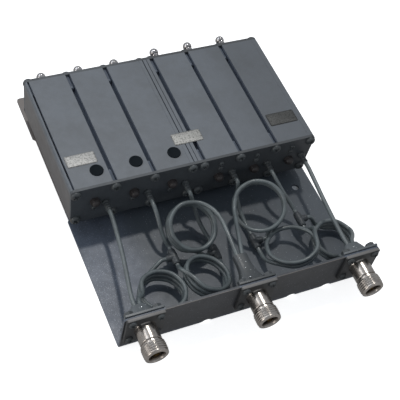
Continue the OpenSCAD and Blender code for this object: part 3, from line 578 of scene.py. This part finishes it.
# Hexagonal nut: r(y, a) = the lesser of the hexagon F / cos(a mod 60 - 30) and the chamfer's cone
def hexNut(centre, flats, bore, y0, y1, turn, sides=72):
    a = np.arange(sides) / sides * tau
    hexagon = flats / 2 / np.cos((a + turn) % (tau / 6) - tau / 12)
    inner = np.full(sides, bore)
    bevel = [(np.full(sides, flats / 2 * 0.96), 0.0), (np.minimum(hexagon, flats / 2 * 1.02), 0.06),
             (np.minimum(hexagon, flats / 2 * 1.09), 0.3), (hexagon, 0.62)]
    rows = [(inner, y0)] + [(r, y0 + y) for r, y in bevel] + [(r, y1 - y) for r, y in bevel[::-1]]
    rows += [(inner, y1), (inner, y0)]
    return turned(np.stack([r for r, y in rows]), [y for r, y in rows], centre, sides)


# Outline of a rounded rectangle from its arcs, and the ring of one radius that matches it point by point
def squareLoop(half, corner, n=8):
    t = np.radians(np.concatenate([np.linspace(q, q + 90, n) for q in (0, 90, 180, 270)]))
    side = np.repeat([(1, 1), (-1, 1), (-1, -1), (1, -1)], n, 0)
    return side * (np.array(half) - corner) + corner * np.stack([np.cos(t), np.sin(t)], -1)


def ringLoop(radius, loop):
    return radius * loop / np.linalg.norm(loop, axis=1)[:, None]


# The harness: leads from the glands, and links that coil between the tees and the hoods
cableSize = {"radius": 1.45, "sides": 20, "samples": 10}
routes = {
    "lead_1": [[-66.9, -21.5, 25], [-66.9, -26, 25], [-71, -56, 26], [-76.6, -86, 26], [-77.1, -92, 26],
               [-77.1, -97, 26]],
    "lead_2": [[-37.6, -21.5, 25], [-37.6, -25, 25], [-37.6, -31, 23.4], [-37.6, -39, 19],
               [-36.2, -46, 12.8], [-34, -50, 9], [-34, -52.5, 9]],
    "lead_3": [[-10.6, -21.5, 25], [-10.6, -24, 25], [-9.6, -27.4, 20.6], [-8.6, -31.6, 15.2],
               [-6.8, -40.5, 9], [-4, -50.5, 4.6], [-4, -55, 4.6]],
    "lead_4": [[24.6, -21.5, 25], [24.6, -23.6, 25], [24.5, -25.9, 21.5], [24.3, -28, 14.5],
               [24.2, -35, 9.5], [24.5, -44, 6.5], [24.5, -52, 6], [24.5, -55.5, 6]],
    "lead_5": [[51.5, -21.5, 25], [51.5, -25, 25], [52.1, -30.5, 23.6], [54.2, -38.5, 20],
               [58.4, -46, 14], [59.5, -49, 12], [59.5, -51.5, 12]],
    "lead_6": [[78.5, -21.5, 25], [78.5, -26, 25], [76.3, -55, 24.4], [74.1, -80, 25.6], [73.7, -92, 26],
               [73.7, -97, 26]],
    "link_1": [[-73.7, -97, 26], [-73.7, -93, 26], [-72.6, -89, 25]]
    + coil([-52.4, -82.5, 17], 14.6, 14.6, -6, 4, 180, -1125, 0.6, -11.2)
    + [[-57, -66.4, 6], [-47.5, -60.4, 8.2], [-42.5, -58, 9], [-39.5, -58, 9]],
    "link_2": [[-1.7, -84, 26], [-0.8, -62, 28], [-0.6, -49.5, 28.3], [-3.5, -40.5, 28.3]]
    + coil([-17.2, -46.5, 22], 15.9, 15.9, 22.7, 1.8, 62, 928, 0.5, -8.4)
    + [[-12, -60.5, 4.6], [-9.5, -60.5, 4.6]],
    "link_3": [[1.7, -84, 26], [2.1, -79.4, 26.2], [6.8, -64, 25.2], [12, -49, 22.5]]
    + coil([31.4, -45.2, 24], 17.2, 17.2, 16, -13.5, 165, -600, 0.5, -5.4)
    + [[35.6, -58.8, 12.6], [34.8, -59.2, 9.2], [33.8, -60.6, 6.6], [32, -61, 6], [30, -61, 6]],
    "link_4": [[24.5, -66.5, 6], [24.5, -69.5, 6], [24.3, -74.5, 7], [24.8, -79.5, 9.5]]
    + coil([42.5, -76.2, 18], 17, 17, -13.8, -10, 210, 510, -4.5, 0.5)
    + [[62, -69.6, 18.4], [60.6, -67, 13.6], [59.5, -64.8, 12], [59.5, -62.5, 12]],
    "link_5": [[-34, -63.5, 9], [-34, -65.6, 9], [-35, -68.4, 11.6], [-37, -73.5, 19]]
    + coil([-19.4, -79.2, 16.2], 14.2, 14.8, -5, 15, 190, 875, 0.8, -7.8)
    + [[-4, -69.6, 4.6], [-4, -66, 4.6]],
    "link_6": [[65, -57, 12], [67, -57, 12], [69.4, -57.8, 10], [71.4, -59.4, 6.6]]
    + coil([76.2, -77.7, 10.5], 14, 14, 2.4, 4.2, 90, -795, -6, 2.2)
    + [[88, -79.6, 15.4], [84.4, -84.2, 19.4], [80.6, -88, 23], [78, -91.4, 25.4], [77.1, -94.4, 26],
       [77.1, -97, 26]],
}
for name, route in routes.items():
    path = smoothCurve(route, cableSize["samples"])
    run = np.cumsum(np.r_[0, 0, np.linalg.norm(np.diff(path, axis=0), axis=1)])
    kind, number = name.split("_")
    piece = putIn("cable" + kind.capitalize() + number, [tube(path, cableSize["radius"], cableSize["sides"])],
                  "cable", run=np.r_[run, run[-1]])
    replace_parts(piece, name)
print("cables made:", len(routes))

# Jacks: a dark flange, and a plated barrel with its thread. The rows give radius and place along Y, from
# the spigot behind the wall to the thread, and from the thread round the mouth back into the bore
jackSize = {
    "radius": 7.95, "depth": 0.34, "pitch": 1.5, "from": -119.35, "to": -126.7, "sides": 96,
    "steps": 8,
    "back": [(4.25, -101.0), (6.0, -101.0), (6.0, -105.0), (6.6, -105.2), (6.6, -107.1), (7.15, -107.21),
             (7.05, -107.6), (7.0, -108.0), (7.0, -108.3), (7.0, -117.1), (7.0, -117.4), (6.9, -117.7),
             (6.75, -117.8), (6.4, -117.95), (6.4, -119.1), (7.3, -119.3)],
    "mouth": [(7.55, -127.0), (7.4, -127.2), (7.0, -127.42), (6.5, -127.5), (5.9, -127.5), (5.6, -127.42),
              (5.4, -127.2), (5.4, -124.0), (5.4, -122.5), (4.25, -122.45), (4.25, -117.0), (4.25, -101.0)],
}
flangeSize = {"half": 12.7, "corner": 1.3, "bore": 6.55,  # half width, or None at the bore, and place along Y
              "rows": [(None, -107.2), (12.45, -107.2), (12.62, -107.13), (12.7, -106.95), (12.7, -105.25),
                       (12.45, -105.0), (None, -105.0), (None, -107.2)]}
for name, x in jackAt.items():
    j, f = jackSize, flangeSize
    back, mouth = np.array(j["back"]), np.array(j["mouth"])
    along = np.arange(j["from"], j["to"], -j["pitch"] / j["steps"])
    body = thread(along[::-1], j["radius"], j["depth"], j["pitch"], j["sides"])[::-1]
    r = np.concatenate([back[:, :1] + np.zeros(j["sides"]), body, mouth[:, :1] + np.zeros(j["sides"])])
    barrel = turned(r, np.r_[back[:, 1], along, mouth[:, 1]], (x, 0, wall["axis"]), j["sides"])
    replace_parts(putIn("barrel" + name.capitalize(), [barrel], "nickel", crease=50), "jack_" + name)
    rows = []
    for half, y in f["rows"]:
        loop = squareLoop(half or f["half"], f["corner"])
        loop = loop if half else ringLoop(f["bore"], loop)
        rows.append(np.stack([x + loop[:, 0], np.full(len(loop), y), wall["axis"] + loop[:, 1]], -1))
    piece = putIn("flange" + name.capitalize(), [np.stack(rows)], "flangePaint", crease=40)
    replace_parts(piece, "jack_" + name)
print("jacks made")

# Places on the end plates: screws in four channels of each bank, the outermost leaning in at the bottom,
# and the cavities
plateScrews = {"first": 4.1, "step": 26.9667, "lean": 1.5, "top": 39.1, "bottom": 12.7}
p = plateScrews
plateAt = [(box["middle"] + side * (p["first"] + p["step"] * i - (p["lean"] if i == 3 and not top else 0)),
            p["top"] if top else p["bottom"])
           for side in (-1, 1) for top in (0, 1) for i in range(4)]
cavityX = [-74.52, -47.55, -20.58, 14.58, 41.55, 68.52]
axisZ = [29.0, 29.0, 29.0, 23.6, 23.6, 23.6]
glandX = [-66.92, -37.55, -10.58, 24.58, 51.55, 78.52]
loopAt = [(x, 21.3) for x in cavityX[:3]] + [(x, z) for x in cavityX[3:] for z in (31.6, 36.6)]
flangeAt = [(x + sideX * 9.07, wall["axis"] + sideZ * 9.07)
            for x in jackAt.values() for sideX in (-1, 1) for sideZ in (-1, 1)]
screwSets = {
    "frontPlateScrews": {"node": "front_plate_screws", "at": plateAt, "y": box["front"], "sign": 1,
                         "head": 7.0, "shank": 4.0, "length": 13.0, "pitch": 1.0},
    "backPlateScrews": {"node": "back_plate_screws", "at": plateAt, "y": box["back"], "sign": -1,
                        "head": 7.0, "shank": 4.0, "length": 13.0, "pitch": 1.0},
    "flangeScrews": {"node": "flange_screws", "at": flangeAt, "y": -107.2, "sign": 1,
                     "head": 5.4, "shank": 3.0, "length": 8.4, "pitch": 0.6},
    "loopScrews": {"node": "loop_screws", "at": loopAt, "y": box["front"], "sign": 1,
                   "head": 3.6, "shank": 2.0, "length": 8.0, "pitch": 0.5},
}
for name, s in screwSets.items():
    grids = [screw((x, s["y"], z), s["sign"], s["head"], s["shank"], s["length"], s["pitch"], 2.4 * k,
                   48) for k, (x, z) in enumerate(s["at"])]
    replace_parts(putIn(name, grids, "screwPaint", crease=38), s["node"])
print("screws made")

# Tuning rods: a threaded rod and its ball, r(y)^2 = R^2 - y^2 down to the neck's angle. Places along Y count
# from the ball's centre, and the tip's rows give radius and place
rodSize = {"ball": 3.3, "neck": -40.5, "radius": 2.5, "depth": 0.28, "pitch": 0.8, "from": -2.3, "to": -59.4,
           "tip": [(2.2, -59.7), (1.8, -60.2), (0.0, -60.2)], "sides": 48,
           "out": [96.4, 96.4, 96.4, 104.4, 104.4, 104.4]}
lockNut = {"flats": 9.0, "bore": 2.55, "y": (84.4, 88.4)}
for i in range(6):
    r = rodSize
    t = np.radians(np.linspace(90, r["neck"], 24))
    ballR, ballY = r["ball"] * np.cos(t), r["ball"] * np.sin(t)
    ballR[0] = 0
    along, tip = np.arange(r["from"], r["to"], -r["pitch"] / 4), np.array(r["tip"])
    body = thread(along[::-1], r["radius"], r["depth"], r["pitch"], r["sides"])[::-1]
    radii = np.concatenate([ballR[:, None] + np.zeros(r["sides"]), body, tip[:, :1] + np.zeros(r["sides"])])
    rod = turned(radii, np.r_[ballY, along, tip[:, 1]], (cavityX[i], r["out"][i], axisZ[i]), r["sides"])
    piece = putIn("rod%d" % (i + 1), [rod], "chrome", body="tuning_rod_%d" % (i + 1), crease=50)
    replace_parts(piece, "tuning_rod_%d" % (i + 1))
nuts = [hexNut((cavityX[i], 0, axisZ[i]), lockNut["flats"], lockNut["bore"], *lockNut["y"], 0.5 * i)
        for i in range(6)]
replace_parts(putIn("lockNuts", nuts, "brass"), "rod_lock_nuts")
print("rods made")

# Domed nuts on the studs: a hexagon below a dome, r(t) = R cos t and y(t) = -h - d sin t
domeNut = {"flats": 6.0, "dome": 2.75, "rise": 2.1, "shoulder": 3.25, "foot": 2.95,
           "y": (0.0, 0.0, -2.3, -2.6, -2.72), "sides": 60}
domes = []
for i in range(6):
    d = domeNut
    a = np.arange(d["sides"]) / d["sides"] * tau
    hexagon = d["flats"] / 2 / np.cos((a + 0.7 * i) % (tau / 6) - tau / 12)
    t = np.radians(np.linspace(0, 90, 9))
    dome = d["dome"] * np.cos(t)[:, None] + 0 * a
    dome[-1] = 0
    rows = [0 * a, hexagon, hexagon, np.minimum(hexagon, d["shoulder"]), 0 * a + d["foot"]]
    domes.append(turned(np.concatenate([rows, dome]), np.r_[d["y"], -d["dome"] - d["rise"] * np.sin(t)],
                        (cavityX[i], box["front"], axisZ[i]), d["sides"]))
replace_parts(putIn("domedNuts", domes, "nutPaint"), "resonator_nuts")

# Crimped glands: a ferrule with two rolled grooves, r(y) = R - d (1 - ((y - c) / w)^2)
gland = {"height": 25.0, "radius": 1.95, "grooves": (-3.4, -5.4), "wide": 0.55, "deep": 0.28,
         "y": (-1.9, -7.2), "sides": 40,
         "foot": [(0.0, 0.0), (2.65, 0.0), (2.75, -0.5), (2.6, -1.3), (1.97, -1.7)],
         "end": [(1.8, -7.4), (1.5, -7.5), (0.0, -7.5)]}
y = np.linspace(*gland["y"], 40)
roll = sum(np.clip(1 - ((y - c) / gland["wide"]) ** 2, 0, 1) for c in gland["grooves"]) * gland["deep"]
rows = np.concatenate([gland["foot"], np.stack([gland["radius"] - roll, y], -1), gland["end"]])
glands = [turned(rows[:, 0], rows[:, 1], (x, box["front"], gland["height"]), gland["sides"])
          for x in glandX]
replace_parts(putIn("glands", glands, "screwPaint"), "cable_glands")

# Tees: shrunk sleeves over the joints. Run: r(s) = R - e |s|^5 + w sin(9 s + k)(1 - s^2), less a crimp near
# its ends. Branch, to the given side: r(s) = R - e s^5, less one crimp
tee = {"half": 5.5, "run": 2.62, "runEnd": 0.5, "wave": 0.1, "branch": 2.5, "branchEnd": 0.45,
       "crimp": 0.14, "crimpHalf": 0.08, "crimpRun": 0.62, "crimpBranch": 0.66, "sides": 32}
teeAt = [((-34.0, -58.0, 9.0), -1), ((-4.0, -60.5, 4.6), -1),
         ((24.5, -61.0, 6.0), 1), ((59.5, -57.0, 12.0), 1)]
tees = []
for k, (centre, side) in enumerate(teeAt):
    s = np.linspace(-1, 1, 41)
    radius = tee["run"] - tee["runEnd"] * np.abs(s) ** 5 + tee["wave"] * np.sin(s * 9 + k) * (1 - s ** 2)
    radius = radius - tee["crimp"] * (np.abs(np.abs(s) - tee["crimpRun"]) < tee["crimpHalf"])
    tees.append(tube(centre + s[:, None] * (0, tee["half"], 0), radius, tee["sides"]))
    s = np.linspace(0, 1, 22)
    radius = tee["branch"] - tee["branchEnd"] * s ** 5
    radius = radius - tee["crimp"] * (np.abs(s - tee["crimpBranch"]) < tee["crimpHalf"])
    tees.append(tube(centre + s[:, None] * (tee["half"] * side, 0, 0), radius, tee["sides"]))
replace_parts(putIn("sleeves", tees, "sleeve", crease=60), "harness_tees")

# Port plugs: radius and height over the lid of a dish, a rim, a shoulder and the stem in its hole
plugSize = {"offset": (4.6, -1.3), "sides": 48,
            "rows": [(0, 0.42), (1.2, 0.42), (2.6, 0.46), (3.2, 0.62), (3.5, 0.76), (4.0, 0.8), (4.35, 0.68),
                     (4.5, 0.4), (4.5, 0.0), (3.75, 0.0), (3.75, -1.8), (3.0, -2.8), (0, -2.8)]}
rows = np.array(plugSize["rows"], float)
a = np.arange(plugSize["sides"]) / plugSize["sides"] * tau
plugs = []
for x in cavityX[:3]:
    acrossX = x + plugSize["offset"][0] + rows[:, :1] * np.cos(a)
    acrossY = plugSize["offset"][1] + rows[:, :1] * np.sin(a)
    plugs.append(np.stack([acrossX, acrossY, box["top"] + rows[:, 1:] + 0 * a], -1))
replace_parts(putIn("plugs", plugs, "plug"), "port_plugs")

# Strips that narrow the top's outer and inner slots, X from a to b, with softened upper corners
strips = {"coverEdgeLow": (-88.3, -86.38), "coverEdgeHigh": (80.38, 83.62), "coverEdgeInner": (-8.68, -6.1)}
stripSize = {"y": (-12.0, 82.4), "low": 41.4, "soft": 0.2, "hard": 0.03}
for name, (a, b) in strips.items():
    s, top, (front, back) = stripSize, box["top"], stripSize["y"]
    outline = np.array([(a, s["low"]), (a, top - s["soft"]), (a + s["soft"], top), (b - s["hard"], top),
                        (b, top - s["hard"]), (b, s["low"])])
    middle = outline * 0 + outline.mean(0)
    rows = [np.stack([o[:, 0], np.full(6, y), o[:, 1]], -1)
            for o, y in ((middle, front), (outline, front), (outline, back), (middle, back))]
    putIn(name, [np.stack(rows)], "boxPaint", crease=40)

# Bare plates on the lid: a rounded outline in steps of inset, or None at the middle, and height
plateRows = [(None, 43.01), (0, 43.01), (0, 43.2), (0.08, 43.27), (0.3, 43.3), (None, 43.3)]
for name, settings in lidPlates.items():
    (x, y), (halfX, halfY) = settings["centre"], settings["half"]
    rows = []
    for inset, z in plateRows:
        loop = np.zeros((32, 2)) if inset is None else squareLoop((halfX - inset, halfY - inset), 1.0)
        rows.append(np.stack([x + loop[:, 0], y + loop[:, 1], np.full(32, z)], -1))
    putIn(name, [np.stack(rows)], name, crease=40)
print("small pieces made")

# Hoods: a base plate, and a shell with the section |X / a|^n + |Z / b|^n = 1, where a, b and n go from
# a wide base to a flat neck: a(t) = a1 + (a0 - a1) (1 - min(t / T, 1))^p
hoodSize = {"base": -101.8, "wide": 12.2, "tall": 9.2, "corner": 1.5, "halfWidth": 4.8, "halfHeight": 3.2,
            "neckCorner": 3.4, "sheet": 0.9, "rise": 3.6}
hoodAt = {"low": {"length": 8.0, "taper": 1.0, "bow": 1.1},
          "common": {"length": 22.4, "taper": 0.85, "bow": 2.7},
          "high": {"length": 8.4, "taper": 1.0, "bow": 1.1}}
basePlate = {"half": 12.7, "corner": 0.6, "bore": 6.3,  # half width, or None at the bore, and place along Y
             "rows": [(None, -103.4), (12.45, -103.4), (12.7, -103.2), (12.7, -101.95), (12.5, -101.8),
                      (None, -101.8), (None, -103.4)]}
for name, form in hoodAt.items():
    h, b, x = hoodSize, basePlate, jackAt[name]
    outline = squareLoop(b["half"], b["corner"])
    rows = []
    for half, y in b["rows"]:
        loop = outline * (half / b["half"]) if half else ringLoop(b["bore"], outline)
        rows.append(np.stack([x + loop[:, 0], np.full(len(loop), y), wall["axis"] + loop[:, 1]], -1))
    t = np.linspace(0, 1, 30)
    blend = ((1 - np.clip(t / form["taper"], 0, 1)) ** form["bow"])[:, None]
    a = np.arange(64) / 64 * tau
    power = h["neckCorner"] + (h["corner"] - h["neckCorner"]) * blend
    along = h["base"] + form["length"] * t[:, None] + 0 * a
    shells = []
    for inset in (0.0, h["sheet"]):
        wide = h["halfWidth"] + (h["wide"] - h["halfWidth"]) * blend - inset
        tall = h["halfHeight"] + (h["tall"] - h["halfHeight"]) * blend - inset
        r = (np.abs(np.cos(a) / wide) ** power + np.abs(np.sin(a) / tall) ** power) ** (-1 / power)
        height = wall["axis"] + h["rise"] * (1 - blend) + r * np.sin(a)
        shells.append(np.stack([x + r * np.cos(a), along, height], -1))
    shell = np.concatenate([shells[0], shells[1][::-1], shells[0][:1]])
    piece = putIn("hood" + name.capitalize(), [np.stack(rows), shell], "hoodPaint", crease=50)
    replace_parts(piece, "hood_" + name)

# Solder drops on the hoods, at X, Y, Z with their radius: P(t, a) = C + r (cos t cos a, cos t sin a, sin t)
dropAt = [(-74.6, -97.2, 30.2, 0.6), (-78.8, -100.6, 31.2, 0.5), (-2.0, -98.2, 31.0, 0.7),
          (-5.2, -100.6, 30.4, 0.5), (-1.2, -90.0, 29.3, 0.5), (0.9, -86.2, 29.2, 0.45),
          (-2.0, -82.6, 29.2, 0.5), (74.6, -97.4, 30.2, 0.6), (70.8, -100.9, 30.2, 0.5)]
drops = []
for x, y, z, r in dropAt:
    t = np.radians(np.linspace(-90, 90, 11))[:, None]
    a = np.arange(20) / 20 * tau
    ball = np.stack([r * np.cos(t) * np.cos(a), r * np.cos(t) * np.sin(a), r * np.sin(t) + 0 * a], -1)
    ball[0], ball[-1] = (0, 0, -r), (0, 0, r)
    drops.append(ball + (x, y, z))
putIn("solderDrops", drops, "solder")
print("drops made")

# Camera at the photograph's viewing angle
view = {"place": (-240.424, -353.246, 538.681), "look": (0.35993, 0.49635, -0.78999),
        "up": (0.22632, 0.77500, 0.59004), "lens": 88.63, "sensor": 36}
camera = bpy.data.objects.new("camera", bpy.data.cameras.new("camera"))
bpy.context.scene.collection.objects.link(camera)
look, up = Vector(view["look"]), Vector(view["up"])
right = look.cross(up).normalized()
up = right.cross(look).normalized()
turn = Matrix((right, up, -look.normalized())).transposed().to_4x4()
camera.matrix_world = Matrix.Translation(Vector(view["place"]) * mm) @ turn
camera.data.lens = view["lens"]
camera.data.sensor_width = view["sensor"]
camera.data.clip_start = 0.01
camera.data.clip_end = 20
bpy.context.scene.camera = camera
bpy.context.scene.view_settings.view_transform = "Standard"

# Floor: white to the camera, duller to bounced rays, so the shaded sides stay dark. It glows only beside
# the tray: outside = the greater of |x| - a and |y - m| - b, with a, m and b in millimetres
floorSize = {"half": 8, "glow": 0.8, "white": 0.93, "dull": (0.22, 0.21, 0.2, 1), "below": -0.0002,
             "clearX": 86.5, "clearY": 99.5, "middleY": 3.0, "edge": 1.5}
floor = Net("floor")
shown = floor.shownRay()
x, y, z = floor.parts(floor.place())
outside = (abs(x) - floorSize["clearX"]).high(abs(y - floorSize["middleY"]) - floorSize["clearY"])
outside = outside.ramp(0.0, floorSize["edge"])
glow = floor.add("ShaderNodeEmission", {}, {"Color": (1, 1, 1, 1), "Strength": outside * floorSize["glow"]})
pale = floor.add("ShaderNodeBsdfDiffuse", {}, {"Color": (*[floorSize["white"]] * 3, 1)})
seen = floor.add("ShaderNodeAddShader", {}, {0: glow, 1: pale})
dull = floor.add("ShaderNodeBsdfDiffuse", {}, {"Color": floorSize["dull"]})
surface = floor.add("ShaderNodeMixShader", {}, {0: shown, 1: dull, 2: seen})
floor.add("ShaderNodeOutputMaterial", {}, {"Surface": surface})
half = floorSize["half"]
mesh = bpy.data.meshes.new("floor")
mesh.from_pydata([(-half, -half, 0), (half, -half, 0), (half, half, 0), (-half, half, 0)], [], [(0, 1, 2, 3)])
mesh.materials.append(floor.material)
ground = bpy.data.objects.new("floor", mesh)
ground.location.z = floorSize["below"]
bpy.context.scene.collection.objects.link(ground)

# World: white where it is shown, and a dim cool light elsewhere
skyTone = {"shown": (1, 1, 1, 1), "light": (0.62, 0.68, 0.76, 1), "strength": 0.4}
world = bpy.context.scene.world or bpy.data.worlds.new("world")
bpy.context.scene.world = world
world.use_nodes = True
sky = Net("sky", world.node_tree)
shown = sky.shownRay()
seen = sky.add("ShaderNodeBackground", {}, {"Color": skyTone["shown"], "Strength": 1.0})
glow = sky.add("ShaderNodeBackground", {}, {"Color": skyTone["light"], "Strength": skyTone["strength"]})
surface = sky.add("ShaderNodeMixShader", {}, {0: shown, 1: glow, 2: seen})
sky.add("ShaderNodeOutputWorld", {}, {"Surface": surface})

# Lamps: place and target in metres, energy, colour, and the size of an area or the sun's angle
lamps = {
    "key": {"place": (0.15, 0.35, 0.9), "target": (0, 0, 0), "energy": 0.81, "colour": (1.0, 0.98, 0.95),
            "angle": 4},
    "softbox": {"place": (-0.5, 0.65, 0.85), "target": (-0.07, 0, 0), "energy": 2.05,
                "colour": (0.88, 0.93, 1.0), "size": (0.9, 0.6)},
    "fill": {"place": (-1.0, -0.1, 0.35), "target": (-0.09, 0.03, 0.02), "energy": 2.0,
             "colour": (1.0, 0.95, 0.9), "size": (0.5, 0.5)},
    "strip": {"place": (-0.82, 0.5, 0.72), "target": (-0.02, -0.1, 0.02), "energy": 0.7,
              "colour": (1.0, 0.98, 0.95), "size": (0.1, 0.5)},
    "front": {"place": (0.35, -0.9, 0.25), "target": (0.02, -0.1, 0.02), "energy": 0.3,
              "colour": (1.0, 0.88, 0.76), "size": (0.5, 0.2)},
}
for name, settings in lamps.items():
    data = bpy.data.lights.new(name, "AREA" if "size" in settings else "SUN")
    data.energy = settings["energy"]
    data.color = settings["colour"]
    if "size" in settings:
        data.shape = "RECTANGLE"
        data.size, data.size_y = settings["size"]
    else:
        data.angle = math.radians(settings["angle"])
    light = bpy.data.objects.new(name, data)
    light.location = settings["place"]
    aim = Vector(settings["target"]) - Vector(settings["place"])
    light.rotation_euler = aim.to_track_quat("-Z", "Y").to_euler()
    bpy.context.scene.collection.objects.link(light)

print("scene ready")
